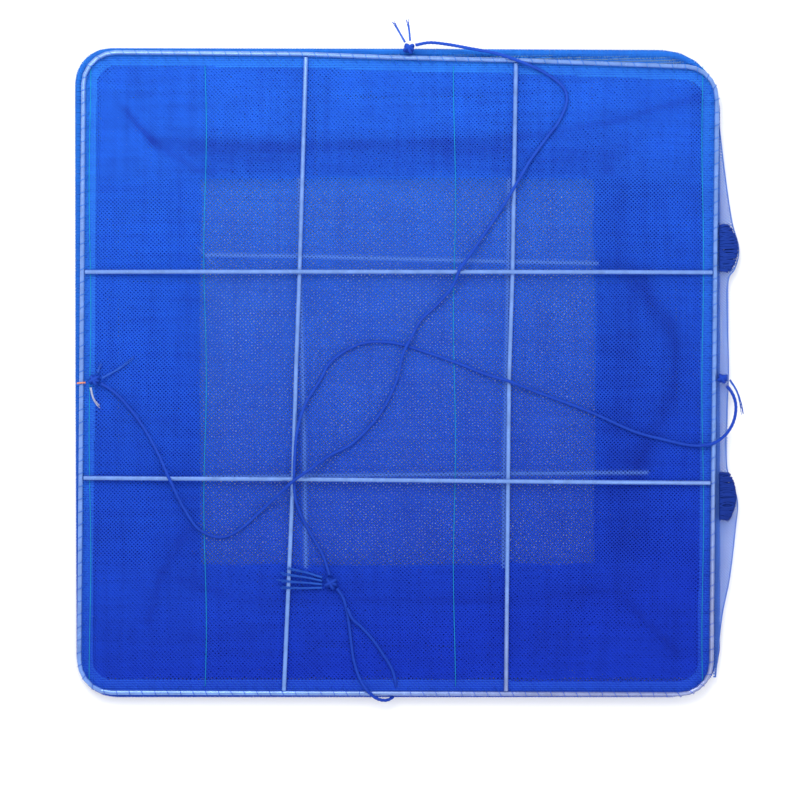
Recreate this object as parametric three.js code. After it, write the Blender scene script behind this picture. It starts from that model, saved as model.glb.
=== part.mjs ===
// A folding crab trap, folded flat: two square frames of galvanised wire, the net that
// covers them, four net walls folded inward in half, eight funnel flaps at the four mouths,
// and a cord bridle tied to the upper frame.
// Millimetres. +Z is up and the floor is Z = 0. X runs to the right and Y away from the viewer.
import * as THREE from 'three';
import { mergeVertices } from 'three/addons/utils/BufferGeometryUtils.js';

// ---- Driving dimensions -------------------------------------------------------------
const WIRE_R = 2; // wire of the frames, 4 mm
const WIRE_SIDES = 12;
const GAP = 0.3; // between pieces that touch
const NET_T = 0.5; // one layer of net
const LAYER = 0.9; // from one layer of net to the next
const RIM_CORNER_R = 30; // three corners of the lower rim are bent wider
const HEM_W = 12; // selvedge laced to each rim
const WALL_HALF = 108; // a wall is two of these high
const MOUTH_DEPTH = 30; // from a wall's rim to its mouth
const MOUTH_HALF_W = 90;
const FLAP_L = 76; // each mouth's two flaps lean in to form a low funnel
const FLAP_TIP_HALF_W = 86;
const CORD_R = 1.6;
const TAIL_R = 1.1;
const CENTRE = [9.7, -0.5]; // middle of the trap's outline, which becomes X = Y = 0

// ---- Levels, from the floor up --------------------------------------------------------
const Z_LOW_BARS = WIRE_R;
const Z_LOW_RIM = Z_LOW_BARS + 2 * WIRE_R + GAP;
const Z_NETS = Z_LOW_RIM + WIRE_R + GAP;
const netLevel = (layer) => Z_NETS + layer * LAYER;
const TOP_NET_LAYER = 5;
const Z_TOP_RIM = netLevel(TOP_NET_LAYER) + NET_T + GAP + WIRE_R;
const Z_TOP_BARS = Z_TOP_RIM + 2 * WIRE_R + GAP;
const Z_ON_NET = netLevel(TOP_NET_LAYER) + NET_T + GAP;

// ---- Outlines of the two rims, hand-bent, anticlockwise from the near side ------------
// Each point is [x, y, corner radius]; radius 0 is a slight kink in a side.
const LOW_RIM = [
  [0.5, -302, 0],
  [300, -302, 42],
  [300, 0, 0],
  [300, 301, 52],
  [0.5, 302.4, 0],
  [-301, 303, RIM_CORNER_R],
  [-300.6, 0, 0],
  [-299.4, -302, 34],
];
const TOP_RIM = [
  [0, -300.36, 0],
  [293.6, -301.3, RIM_CORNER_R],
  [296.4, 0, 0],
  [299.2, 286.2, RIM_CORNER_R],
  [110, 293, 0],
  [-7.5, 295.8, 0],
  [-92, 299, 0],
  [-294.6, 300.8, RIM_CORNER_R],
  [-296.6, 0, 0],
  [-299, -299.4, RIM_CORNER_R],
];

// The lattice bars, each through the points where it bends a little.
const TOP_BARS = {
  a: [[-86.3, 295.8], [-92.3, 94.7], [-95.6, 2.8], [-98.4, -99.4], [-106.9, -297.7]],
  b: [[110.6, 290.1], [107.4, 94.7], [104.1, -6.6], [101.3, -298.2]],
  c: [[-293.2, 94.7], [-92.3, 94.7], [107.4, 94.5], [294.6, 94.3]],
  d: [[-294.5, -98.4], [-98.4, -99.4], [103, -101.4], [292.6, -103.1]],
};
const LOW_BARS = {
  a: [[-93.5, 299.8], [-92, 110], [-88, -60], [-85.5, -299.2]],
  b: [[104.5, 299.1], [103.5, 105], [99.5, -95], [98.5, -299.2]],
  c: [[-298, 110.8], [-92, 109.6], [103.5, 104.6], [297.2, 101.5]],
  d: [[-297.4, -97.8], [-88.5, -96.4], [99.5, -94.4], [297.2, -93.2]],
};
const BAR_LIFT_FROM = 200; // bars c and d rise over a and b from here inward

// ---- The four sides: hinge line of the wall, its length and its mouth ------------------
// turn is in quarter turns; at 0 the side is the near one and "inward" is +Y. low and high
// are the net layers of the wall's two halves.
const SIDES = [
  { name: 'near', turn: 0, at: [-2, -287], half: 281, mouth: 0, low: 2, high: 4 },
  { name: 'right', turn: 1, at: [292, -6], half: 276, mouth: 3, low: 1, high: 3 },
  { name: 'far', turn: 2, at: [-2, 290], half: 277, mouth: -13, low: 2, high: 4 },
  { name: 'left', turn: 3, at: [-293, 0], half: 284, mouth: 3, low: 1, high: 3 },
];

// ---- Cords: [x, y, z] on the centre line ------------------------------------------------
const BRIDLE_FAR_LEFT = [
  [16.4, 307.2, 17.4], [29, 309.6, 16.6], [45, 308.2, 16.8], [69, 303.6, 18.6],
  [91, 299.2, 20.2], [110, 293, 20.6], [139, 280.7, 16], [155.6, 267, 15.6],
  [158.4, 256, 15.5], [151.4, 237, 15.5], [139.7, 221, 15.5], [123.8, 199, 16.6],
  [114.4, 183, 20.2], [103, 164, 20.2], [93, 148, 16.4], [67.5, 110.6, 21],
  [58, 97, 25], [51, 81, 21], [35.6, 63, 15.8], [21.6, 49.6, 17], [12.2, 32.8, 19.4],
  [4.7, 17.8, 19.4], [-1, -6, 16], [-15.9, -36.6, 15.5], [-43, -66, 15.5],
  [-64.7, -77.8, 18], [-82, -90, 25.2], [-97, -100.4, 28.4], [-110, -112, 24.6],
  [-127, -128, 16.8], [-152, -149, 15.5], [-167, -154, 15.5], [-186, -147, 15.5],
  [-200.6, -126.6, 18], [-213.8, -98.4, 23.8], [-226, -73, 17.4], [-244, -43, 15.5],
  [-265, -18.8, 15.7], [-278.4, -9.6, 17.2],
];
const BRIDLE_RIGHT = [
  [308.2, -12, 17], [313, -18.5, 16.4], [316.3, -27, 15.8], [316.6, -37, 15.6],
  [313.6, -48, 16], [307, -57.6, 17.6], [297, -65, 20.2], [284, -68, 17.4],
  [271.5, -67.4, 15.6], [247.5, -62, 15.5], [223.6, -55.6, 15.5], [175.8, -34.7, 15.5],
  [128.4, -17.3, 16.4], [104.4, -8, 20.2], [81.6, -1, 16.4], [58, 8.4, 15.5],
  [26.3, 19.6, 15.5], [4.7, 26.3, 15.5], [-10.8, 29, 15.5], [-32.3, 28, 15.5],
  [-50.6, 20, 15.5], [-64.7, 8.4, 15.5], [-73, -6.6, 15.5], [-84.4, -24.4, 17],
  [-90, -38, 20], [-94.6, -56, 20.4], [-96.4, -77, 21.2], [-97, -99, 24.4],
  [-96, -117, 21], [-91, -133, 16.6], [-82, -150.4, 15.5], [-70.6, -170.6, 15.6],
  [-64, -189.6, 17.6],
];
const BRIDLE_NEAR = [
  [-57.2, -201.8, 17.6], [-51.4, -211, 15.8], [-48, -223, 15.5], [-45.8, -236.5, 15.5],
  [-44, -252, 15.5], [-41.3, -270, 15.5], [-36, -286, 16.6], [-28.5, -297.5, 19.9],
  [-20, -304.6, 19.4], [-11, -306.8, 15.8], [-4.4, -303.6, 12.2], [-2.2, -297, 11.9],
  [-2.6, -288.6, 15.8], [-6, -277, 15.5], [-14.6, -263, 15.5], [-24, -249.6, 15.5],
  [-34, -238.4, 16.8], [-43, -229.6, 19.2], [-47.4, -219.8, 19.1],
];

// Knots: centre and half-sizes. Tails: the cords' loose ends, away from the knot.
const KNOTS = {
  far: { at: [10.3, 304.2, 17], size: [6, 5.5, 5] },
  left: { at: [-284.5, -6.6, Z_ON_NET + 4.8], size: [6, 5.5, 4.8] },
  right: { at: [304.2, -5.2, 17], size: [5.4, 6, 5] },
  main: { at: [-62.8, -196.9, Z_ON_NET + 5], size: [7, 6.2, 5] },
};
const TAILS = {
  far_tail_a: [[6.6, 310, 17], [1, 320, 16], [-5.9, 332.6, 13.6]],
  far_tail_b: [[11.4, 311.4, 17], [10.4, 322, 16.2], [8.2, 333.4, 14]],
  left_tail_a: [[-288, -13.6, 17.4], [-285.6, -24, 15.2], [-278.4, -33.8, 15]],
  left_tail_b: [[-281.4, 0.2, 17.6], [-280, 5, 16], [-277.5, 9.6, 15]],
  left_tail_c: [[-277.2, -4.8, 18], [-262, 4, 15.4], [-245.6, 16, 15]],
  right_tail: [[311, -6.4, 17], [317.6, -17, 16.6], [321.4, -29, 15.4], [323.4, -40, 13.6]],
  main_tail_a: [[-71, -191.6, 17], [-86, -187, 16.8], [-102, -183, 19.6], [-108.5, -179.6, 18.6]],
  main_tail_b: [[-71, -194.8, 17], [-86, -191.6, 16.8], [-102, -189, 19.6], [-113, -187, 18]],
  main_tail_c: [[-71, -198, 17], [-86, -196.6, 16.8], [-102, -195.2, 19.6], [-116.5, -194, 17.4]],
  main_tail_d: [[-71, -201.2, 17], [-86, -201.6, 16.8], [-102, -201.2, 19.6], [-112, -200.6, 18.4]],
};
const TWINE_TIE = [[-300.6, -9.6, 15.6], [-299, -9.4, 18.6], [-296, -9.2, 19.6], [-292.8, -9, 18]];

// Slack net of the right wall, pushed out past the rims, and the two gathers beside its mouth.
const SLACK_EDGE = [
  [299, 260.6], [306.6, 192], [314, 141.6], [320.4, 115.3], [316, 97], [311, 90],
  [310.6, 2.8], [309.4, -90], [318.8, -119], [316.9, -147], [311.3, -194], [304.7, -227],
  [298.4, -286],
];
const SLACK_IN = 295.5;
const SLACK_T = 1.4;
const GATHERS = {
  far: [[301.2, 137], [314.2, 139], [320.4, 116], [316, 96.4], [301.2, 94.4]],
  near: [[301.2, -95], [309.6, -93], [318.8, -119], [317.4, -139], [301.2, -138]],
};
const GATHER_T = 3.6;

// ---- Materials ------------------------------------------------------------------------
const finish = (color, roughness, metalness = 0) =>
  new THREE.MeshStandardMaterial({ color, roughness, metalness });
const WIRE = finish(0x9aa3c8, 0.4, 0.8);
const NET = finish(0x2a5cd6, 0.75);
const SLACK = finish(0x9db9ea, 0.75);
const GATHER = finish(0x1b2f7d, 0.8);
const CORD = finish(0x1d3fae, 0.8);
const TAIL = finish(0x3a62c4, 0.8);
const TWINE = finish(0xd98a6a, 0.8);

// ---- Geometry helpers -------------------------------------------------------------------
const flat = ([x, y]) => new THREE.Vector2(x, y);

function welded(geometry) {
  const bare = geometry.clone();
  bare.deleteAttribute('normal');
  bare.deleteAttribute('uv');
  bare.clearGroups();
  return mergeVertices(bare, 1e-3);
}

function piece(name, geometry, material) {
  const mesh = new THREE.Mesh(welded(geometry), material);
  mesh.name = name;
  return mesh;
}

// A regular section with a flat facet on each side of both its axes.
function section(radius, sides) {
  const points = [];
  for (let i = 0; i < sides; i += 1) {
    const angle = (2 * Math.PI * (i + 0.5)) / sides;
    points.push(new THREE.Vector2(radius * Math.cos(angle), radius * Math.sin(angle)));
  }
  return new THREE.Shape(points);
}

// Rounds the corners of an outline, moved inward by inset (anticlockwise points).
function roundedOutline(points, inset = 0, arcSteps = 5) {
  const count = points.length;
  const out = [];
  points.forEach((point, i) => {
    const here = flat(point);
    const before = here.clone().sub(flat(points[(i + count - 1) % count])).normalize();
    const after = flat(points[(i + 1) % count]).sub(here).normalize();
    const inBefore = new THREE.Vector2(-before.y, before.x);
    const inAfter = new THREE.Vector2(-after.y, after.x);
    const mitre = inBefore.clone().add(inAfter).divideScalar(1 + inBefore.dot(inAfter));
    const corner = here.clone().addScaledVector(mitre, inset);
    if (point[2] === 0) {
      out.push(corner);
      return;
    }
    const radius = point[2] - inset;
    const centre = corner.clone().addScaledVector(mitre, radius);
    const start = Math.atan2(-inBefore.y, -inBefore.x);
    const sweep = Math.acos(THREE.MathUtils.clamp(before.dot(after), -1, 1));
    for (let k = 0; k <= arcSteps; k += 1) {
      const angle = start + (sweep * k) / arcSteps;
      out.push(new THREE.Vector2(
        centre.x + radius * Math.cos(angle),
        centre.y + radius * Math.sin(angle),
      ));
    }
  });
  return out;
}

// A curve whose extrusion has one ring at each of its points.
function ringCurve(points, closed) {
  const curve = new THREE.CatmullRomCurve3(points, closed, 'centripetal');
  curve.getUtoTmapping = (u) => u;
  if (closed) {
    curve.getTangent = (t, target = new THREE.Vector3()) =>
      target.subVectors(curve.getPoint(t + 1e-4), curve.getPoint(t - 1e-4)).normalize();
  }
  return curve;
}

// The wire's facets, rather than its edges, are WIRE_R from its centre line.
const wireSection = () => section(WIRE_R / Math.cos(Math.PI / WIRE_SIDES), WIRE_SIDES);

function wire(points) {
  return new THREE.ExtrudeGeometry(wireSection(), {
    steps: points.length - 1,
    extrudePath: ringCurve(points, false),
  });
}

// A closed loop of wire: the side faces alone, whose first and last rings meet.
function wireLoop(points) {
  const tube = new THREE.ExtrudeGeometry(wireSection(), {
    steps: points.length,
    extrudePath: ringCurve(points, true),
  });
  const sides = tube.groups[1];
  const positions = tube.getAttribute('position').array;
  const loop = new THREE.BufferGeometry();
  loop.setAttribute('position', new THREE.BufferAttribute(
    positions.slice(sides.start * 3, (sides.start + sides.count) * 3),
    3,
  ));
  return loop;
}

function cord(points, radius, steps) {
  const path = new THREE.CatmullRomCurve3(points.map((p) => new THREE.Vector3(...p)));
  return new THREE.ExtrudeGeometry(section(radius, 8), { steps, extrudePath: path });
}

function plate(outline, bottom, thickness, hole = null) {
  const shape = new THREE.Shape(outline);
  if (hole) {
    shape.holes.push(new THREE.Path(hole));
  }
  const geometry = new THREE.ExtrudeGeometry(shape, {
    depth: thickness,
    bevelEnabled: false,
  });
  return geometry.translate(0, 0, bottom);
}

// A ball with four soft ridges round it, as the turns of a tight knot make.
function knot({ at, size }) {
  const ball = new THREE.SphereGeometry(1, 16, 10);
  const position = ball.getAttribute('position');
  const point = new THREE.Vector3();
  for (let i = 0; i < position.count; i += 1) {
    point.fromBufferAttribute(position, i);
    const turn = Math.atan2(point.z, point.x) + 1.2 * point.y;
    const girth = Math.hypot(point.x, point.z);
    point.multiplyScalar(1 - 0.06 * girth * (1 - Math.cos(4 * turn)));
    position.setXYZ(i, point.x * size[0], point.y * size[1], point.z * size[2]);
  }
  return ball.translate(...at);
}

// ---- The two frames -----------------------------------------------------------------------
// lift is +1 where bars c and d pass over a and b, and -1 where they pass under them.
function barPoints(points, z, lift) {
  const rise = lift * (2 * WIRE_R + GAP);
  return points.map(([x, y]) => new THREE.Vector3(x, y, z + rise));
}

function crossingBar(points, z, lift) {
  const raised = barPoints(points, z, lift);
  const first = raised[0];
  const last = raised[raised.length - 1];
  const shoulder = (end, next) => {
    const share = (Math.abs(end.x) - BAR_LIFT_FROM) / Math.abs(end.x - next.x);
    return end.clone().lerp(next, share);
  };
  const shoulders = [shoulder(first, raised[1]), shoulder(last, raised[raised.length - 2])];
  first.z = z;
  last.z = z;
  return [first, shoulders[0], ...raised.slice(1, -1), shoulders[1], last];
}

function frame(name, rim, bars, z, lift) {
  const group = new THREE.Group();
  const outline = roundedOutline(rim).map((p) => new THREE.Vector3(p.x, p.y, z));
  group.add(piece(`${name}_rim`, wireLoop(outline), WIRE));
  for (const key of ['a', 'b']) {
    group.add(piece(`${name}_bar_${key}`, wire(barPoints(bars[key], z, 0)), WIRE));
  }
  for (const key of ['c', 'd']) {
    group.add(piece(`${name}_bar_${key}`, wire(crossingBar(bars[key], z, lift)), WIRE));
  }
  return group;
}

// The selvedge under or over a rim, and the net inside it. The upper selvedge is cut where
// the bridle's near leg passes round the rim.
function netting(name, rim, layer, cut) {
  const group = new THREE.Group();
  const bottom = netLevel(layer);
  const outer = roundedOutline(rim);
  const inner = roundedOutline(rim, HEM_W);
  if (cut) {
    const [left, right] = cut;
    const ends = (loop, x) => new THREE.Vector2(x, loop[0].y);
    const band = [
      ends(outer, right), ...outer.slice(1), ends(outer, left),
      ends(inner, left), ...inner.slice(1).reverse(), ends(inner, right),
    ];
    group.add(piece(`${name}_hem`, plate(band, bottom, NET_T), NET));
  } else {
    group.add(piece(`${name}_hem`, plate(outer, bottom, NET_T, inner), NET));
  }
  const net = roundedOutline(rim, HEM_W + GAP);
  group.add(piece(`${name}_net`, plate(net, bottom, NET_T), NET));
  return group;
}

// ---- Walls and funnel flaps ------------------------------------------------------------------
// Drawn as the near side: x along the rim, y inward from the wall's hinge line.
function wallOutline(half, mouth) {
  const cut = 14;
  const left = mouth - MOUTH_HALF_W;
  const right = mouth + MOUTH_HALF_W;
  return [
    [-half + cut, GAP], [half - cut, GAP], [half, cut], [half, WALL_HALF - GAP],
    [right, WALL_HALF - GAP], [right, MOUTH_DEPTH], [left, MOUTH_DEPTH],
    [left, WALL_HALF - GAP], [-half, WALL_HALF - GAP], [-half, cut],
  ].map(flat);
}

function flapOutline(mouth) {
  const base = MOUTH_DEPTH + GAP;
  const foot = MOUTH_HALF_W - 1;
  const tip = MOUTH_DEPTH + FLAP_L;
  return [
    [mouth - foot, base], [mouth + foot, base],
    [mouth + FLAP_TIP_HALF_W, tip], [mouth - FLAP_TIP_HALF_W, tip],
  ].map(flat);
}

function side({ name, turn, at, half, mouth, low, high }) {
  const group = new THREE.Group();
  group.position.set(at[0], at[1], 0);
  group.rotation.z = (turn * Math.PI) / 2;
  for (const [part, layer] of [['lower', low], ['upper', high]]) {
    const bottom = netLevel(layer);
    const wall = plate(wallOutline(half, mouth), bottom, NET_T);
    group.add(piece(`${name}_wall_${part}`, wall, NET));
    const flap = plate(flapOutline(mouth), bottom, NET_T);
    group.add(piece(`${name}_flap_${part}`, flap, NET));
  }
  return group;
}

function slackNet() {
  const group = new THREE.Group();
  const bottom = netLevel(1) + 0.1;
  const edge = SLACK_EDGE.map(flat);
  const inside = [new THREE.Vector2(SLACK_IN, -286), new THREE.Vector2(SLACK_IN, 260.6)];
  const outline = [...inside, ...edge].reverse();
  group.add(piece('right_slack_net', plate(outline, bottom, SLACK_T), SLACK));
  for (const [name, points] of Object.entries(GATHERS)) {
    const gather = plate(points.map(flat).reverse(), bottom + SLACK_T + GAP, GATHER_T);
    group.add(piece(`right_gather_${name}`, gather, GATHER));
  }
  return group;
}

// ---- The bridle --------------------------------------------------------------------------------
function bridle() {
  const group = new THREE.Group();
  group.add(piece('bridle_far_left', cord(BRIDLE_FAR_LEFT, CORD_R, 80), CORD));
  group.add(piece('bridle_right', cord(BRIDLE_RIGHT, CORD_R, 78), CORD));
  group.add(piece('bridle_near', cord(BRIDLE_NEAR, CORD_R, 34), CORD));
  for (const [name, shape] of Object.entries(KNOTS)) {
    group.add(piece(`knot_${name}`, knot(shape), CORD));
  }
  for (const [name, points] of Object.entries(TAILS)) {
    group.add(piece(name, cord(points, TAIL_R, 6), TAIL));
  }
  group.add(piece('twine_tie', cord(TWINE_TIE, 0.9, 6), TWINE));
  return group;
}

// ---- The whole trap ------------------------------------------------------------------------------
const trap = new THREE.Group();
trap.position.set(-CENTRE[0], -CENTRE[1], 0);
trap.add(frame('low', LOW_RIM, LOW_BARS, Z_LOW_RIM, -1));
trap.add(netting('low', LOW_RIM, 0, null));
trap.add(frame('top', TOP_RIM, TOP_BARS, Z_TOP_RIM, 1));
trap.add(netting('top', TOP_RIM, TOP_NET_LAYER, [-14, 8]));
SIDES.forEach((wall) => trap.add(side(wall)));
trap.add(slackNet());
trap.add(bridle());

const model = new THREE.Group();
model.add(trap);
export default model;
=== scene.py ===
"""A folding crab trap lying folded flat: wire frames, blue knotless netting and a cord bridle.

The row frame is used throughout: +Z up, the floor at Z = 0. Lists of points are millimetres
as in the part's source, and row() turns them into the row frame, in metres.
"""

import math

import bpy
import numpy as np
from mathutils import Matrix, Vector


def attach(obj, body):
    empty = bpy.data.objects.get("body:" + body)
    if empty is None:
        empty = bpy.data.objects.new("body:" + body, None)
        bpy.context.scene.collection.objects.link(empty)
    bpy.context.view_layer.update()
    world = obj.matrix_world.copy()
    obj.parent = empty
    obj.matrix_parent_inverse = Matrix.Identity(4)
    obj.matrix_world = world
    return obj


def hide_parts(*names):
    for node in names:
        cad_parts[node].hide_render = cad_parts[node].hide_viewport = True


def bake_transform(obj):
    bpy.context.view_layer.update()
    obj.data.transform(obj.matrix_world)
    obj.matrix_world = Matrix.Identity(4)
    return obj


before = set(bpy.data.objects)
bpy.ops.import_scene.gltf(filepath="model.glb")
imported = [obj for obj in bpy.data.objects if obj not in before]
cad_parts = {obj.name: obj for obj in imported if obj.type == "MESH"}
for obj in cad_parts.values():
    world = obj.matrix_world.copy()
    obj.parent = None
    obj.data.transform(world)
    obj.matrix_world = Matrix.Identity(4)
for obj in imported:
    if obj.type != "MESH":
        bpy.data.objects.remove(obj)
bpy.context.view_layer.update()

CENTRE = (9.7, -0.5)  # middle of the trap's outline, which is X = Y = 0 of the row frame


def row(point):
    """A point in the part's millimetres, as the row frame's metres."""
    x, y, z = point
    return ((x - CENTRE[0]) / 1000, (y - CENTRE[1]) / 1000, z / 1000)


# ---- Camera -----------------------------------------------------------------------------
camera_data = bpy.data.cameras.new("camera")
camera_data.sensor_width = 36
camera_data.lens = 105.6
camera = bpy.data.objects.new("camera", camera_data)
camera.location = (-0.0078, -0.0248, 2.216)
bpy.context.scene.collection.objects.link(camera)
bpy.context.scene.camera = camera
bpy.context.scene.view_settings.view_transform = "Standard"


# ---- Materials ----------------------------------------------------------------------------
def nodes_of(name):
    material = bpy.data.materials.new(name)
    material.use_nodes = True
    tree = material.node_tree
    return material, tree, tree.nodes["Principled BSDF"]


def mixed(tree, factor, first, second):
    """A colour between two, by a factor socket. Each colour is a socket or three numbers."""
    mix = tree.nodes.new("ShaderNodeMix")
    mix.data_type = "RGBA"
    tree.links.new(factor, mix.inputs[0])
    for socket, colour in ((mix.inputs[6], first), (mix.inputs[7], second)):
        if isinstance(colour, tuple):
            socket.default_value = (*colour, 1)
        else:
            tree.links.new(colour, socket)
    return mix.outputs[2]


def spread(tree, value, low, high):
    """Stretches low..high of a value socket to 0..1."""
    node = tree.nodes.new("ShaderNodeMapRange")
    node.inputs["From Min"].default_value = low
    node.inputs["From Max"].default_value = high
    tree.links.new(value, node.inputs["Value"])
    return node.outputs["Result"]


def weighed(tree, terms):
    """A sum of value sockets, each times its weight."""
    total = None
    for value, weight in terms:
        node = tree.nodes.new("ShaderNodeMath")
        node.operation = "MULTIPLY_ADD"
        node.inputs[1].default_value = weight
        tree.links.new(value, node.inputs[0])
        if total is None:
            node.inputs[2].default_value = 0
        else:
            tree.links.new(total, node.inputs[2])
        total = node.outputs[0]
    node.use_clamp = True
    return total


def grain(tree, scale, stretch=(1, 1, 1), detail=2.0):
    """Noise in the object's own coordinates, which are the row frame's metres at rest."""
    place = tree.nodes.new("ShaderNodeTexCoord")
    mapping = tree.nodes.new("ShaderNodeMapping")
    mapping.inputs["Scale"].default_value = stretch
    texture = tree.nodes.new("ShaderNodeTexNoise")
    texture.inputs["Scale"].default_value = scale
    texture.inputs["Detail"].default_value = detail
    tree.links.new(place.outputs["Object"], mapping.inputs["Vector"])
    tree.links.new(mapping.outputs["Vector"], texture.inputs["Vector"])
    return texture.outputs["Fac"]


def along(tree, direction):
    """How far a point lies along a direction, in metres."""
    place = tree.nodes.new("ShaderNodeTexCoord")
    dot = tree.nodes.new("ShaderNodeVectorMath")
    dot.operation = "DOT_PRODUCT"
    dot.inputs[1].default_value = direction
    tree.links.new(place.outputs["Object"], dot.inputs[0])
    return dot.outputs["Value"]


def twine(name, bright, deep, rough=0.7, fleck=140, through=0.0, gloss=0.12):
    """Twine with a fine fleck, brighter at the far side and deeper at the near one: a painted
    light falloff away from the key light. Strands in a fold carry a painted shade of 0 to 1 and
    are darker by it; over a bar of the lower frame they carry a painted light of 0 to 1 and are
    paler, as the bar lights them."""
    material, tree, bsdf = nodes_of(name)
    # Painted light falloff: brighter towards the key light at the far side, deeper at the near
    # side.
    across = spread(tree, along(tree, (0.22, -0.975, 0)), -0.27, 0.25)
    base = mixed(tree, across, bright, deep)
    far_shade, near_shade = (0.6, 0.36, 0.62), (0.6, 0.5, 0.62)
    dark = mixed(tree, across, tuple(d * c for d, c in zip(far_shade, bright)),
                 tuple(d * c for d, c in zip(near_shade, deep)))
    # Painted shade in the net's folds: the per-point shade attribute darkens the colour; the
    # noises add random mottling, streaks and fleck.
    fold = tree.nodes.new("ShaderNodeAttribute")
    fold.attribute_name = "shade"
    total = weighed(tree, (
        (fold.outputs["Fac"], 1.0),
        (spread(tree, grain(tree, 26, (1, 1, 0.2), 3.0), 0.30, 0.75), 0.20),
        (spread(tree, grain(tree, 150, (1, 0.06, 1), 1.0), 0.38, 0.72), 0.16),
        (spread(tree, grain(tree, 150, (0.06, 1, 1), 1.0), 0.38, 0.72), 0.16),
        (spread(tree, grain(tree, fleck), 0.35, 0.80), 0.12),
    ))
    # Painted light: the second attribute makes the net paler where a bar of the lower frame shows
    # through and lights it.
    pale = tree.nodes.new("ShaderNodeAttribute")
    pale.attribute_name = "wear_and_painted_light"
    painted_bar_light = (0.17, 0.36, 0.85)
    colour = mixed(tree, pale.outputs["Fac"], mixed(tree, total, base, dark), painted_bar_light)
    tree.links.new(colour, bsdf.inputs["Base Color"])
    bsdf.inputs["Roughness"].default_value = rough
    bsdf.inputs["Specular IOR Level"].default_value = gloss
    if through:
        glow = tree.nodes.new("ShaderNodeBsdfTranslucent")
        tree.links.new(colour, glow.inputs["Color"])
        mix = tree.nodes.new("ShaderNodeMixShader")
        mix.inputs[0].default_value = through
        out = tree.nodes["Material Output"]
        tree.links.new(bsdf.outputs[0], mix.inputs[1])
        tree.links.new(glow.outputs[0], mix.inputs[2])
        tree.links.new(mix.outputs[0], out.inputs["Surface"])
    return material


def zinc(name, far, near, dull, rough):
    """Galvanised wire whose bluish cast is a painted reflection of the blue net round it, greyer
    and more lilac at the near side, with dull patches at random.
    """
    material, tree, bsdf = nodes_of(name)
    across = spread(tree, along(tree, (0.50, -0.87, 0)), 0.20, 0.33)
    base = mixed(tree, across, far, near)
    patch = spread(tree, grain(tree, 90, (1, 1, 1), 4.0), 0.30, 0.75)
    wear_and_painted_light = mixed(tree, across, tuple(dull * c for c in far), tuple(dull * c for c in near))
    tree.links.new(mixed(tree, patch, base, wear_and_painted_light), bsdf.inputs["Base Color"])
    tree.links.new(spread(tree, grain(tree, 300), 0.0, 1.0 / rough), bsdf.inputs["Roughness"])
    bsdf.inputs["Metallic"].default_value = 0.35
    return material


NET = twine("cover_twine", (0.026, 0.195, 0.880), (0.011, 0.056, 0.640), through=0.4)
# The lower cover's twine is the cover's made greyer and duller: painted shade, for the lower
# cover lying under the upper one.
LOW_NET = twine("low_cover_twine", (0.215, 0.400, 0.570), (0.100, 0.205, 0.455), through=0.4)
# The walls' twine is the cover's made brighter: painted light that lifts the shade seen through
# the upper cover's holes.
WALL_NET = twine("wall_twine", (0.030, 0.240, 0.960), (0.012, 0.068, 0.760), through=0.45)
HEM = twine("lacing_twine", (0.025, 0.230, 0.800), (0.016, 0.090, 0.620), through=0.2)
SLACK = twine("slack_twine", (0.130, 0.300, 0.760), (0.100, 0.240, 0.720), through=0.3)
# The bunched twine is the net's twine made much darker: painted shade in the bunched folds of the
# gathers.
BUNCH = twine("bunched_twine", (0.010, 0.050, 0.330), (0.006, 0.030, 0.240))
CORD = twine("cord_strands", (0.014, 0.075, 0.480), (0.008, 0.045, 0.380), fleck=420)
TAIL = twine("frayed_strands", (0.030, 0.120, 0.560), (0.015, 0.080, 0.430), fleck=420)
PALE = twine("pale_strands", (0.42, 0.46, 0.60), (0.34, 0.38, 0.52), fleck=420)
ORANGE = twine("orange_strands", (0.78, 0.30, 0.17), (0.66, 0.24, 0.14), fleck=500)
GREEN = twine("marker_yarn", (0.01, 0.36, 0.60), (0.01, 0.26, 0.48), fleck=300)
WIRE_TOP = zinc("galvanised_wire", (0.165, 0.310, 0.720), (0.220, 0.260, 0.480), 0.72, 0.42)
# The lower frame's wire is the same zinc made darker than the upper frame's: painted shade, as
# the key light falls on the upper frame.
WIRE_LOW = zinc("galvanised_wire_low", (0.130, 0.260, 0.600), (0.200, 0.220, 0.360), 0.8, 0.45)


# ---- Curves and tubes ---------------------------------------------------------------------
def smooth(points, step):
    """A centripetal Catmull-Rom curve through the points, resampled every step, in metres."""
    pts = np.array(points, float)
    pts = np.vstack([2 * pts[0] - pts[1], pts, 2 * pts[-1] - pts[-2]])
    out = []
    for i in range(1, len(pts) - 2):
        p = pts[i - 1 : i + 3]
        gaps = np.sqrt(np.linalg.norm(np.diff(p, axis=0), axis=1))
        at = np.concatenate([[0], np.cumsum(gaps)])
        t = np.linspace(at[1], at[2], 16, endpoint=False)[:, None]

        def lerp(a, b, j, k):
            return ((at[k] - t) * a + (t - at[j]) * b) / (at[k] - at[j])

        a = [lerp(p[j], p[j + 1], j, j + 1) for j in range(3)]
        b = [lerp(a[j], a[j + 1], j, j + 2) for j in range(2)]
        out.append(lerp(b[0], b[1], 1, 2))
    line = np.vstack([*out, pts[-2]])
    return evenly(line, step)


def evenly(line, step):
    """The same line with its points about a step apart."""
    lengths = np.concatenate([[0], np.cumsum(np.linalg.norm(np.diff(line, axis=0), axis=1))])
    count = max(2, int(round(lengths[-1] / step)) + 1)
    marks = np.linspace(0, lengths[-1], count)
    return np.column_stack([np.interp(marks, lengths, line[:, k]) for k in range(3)])


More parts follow.
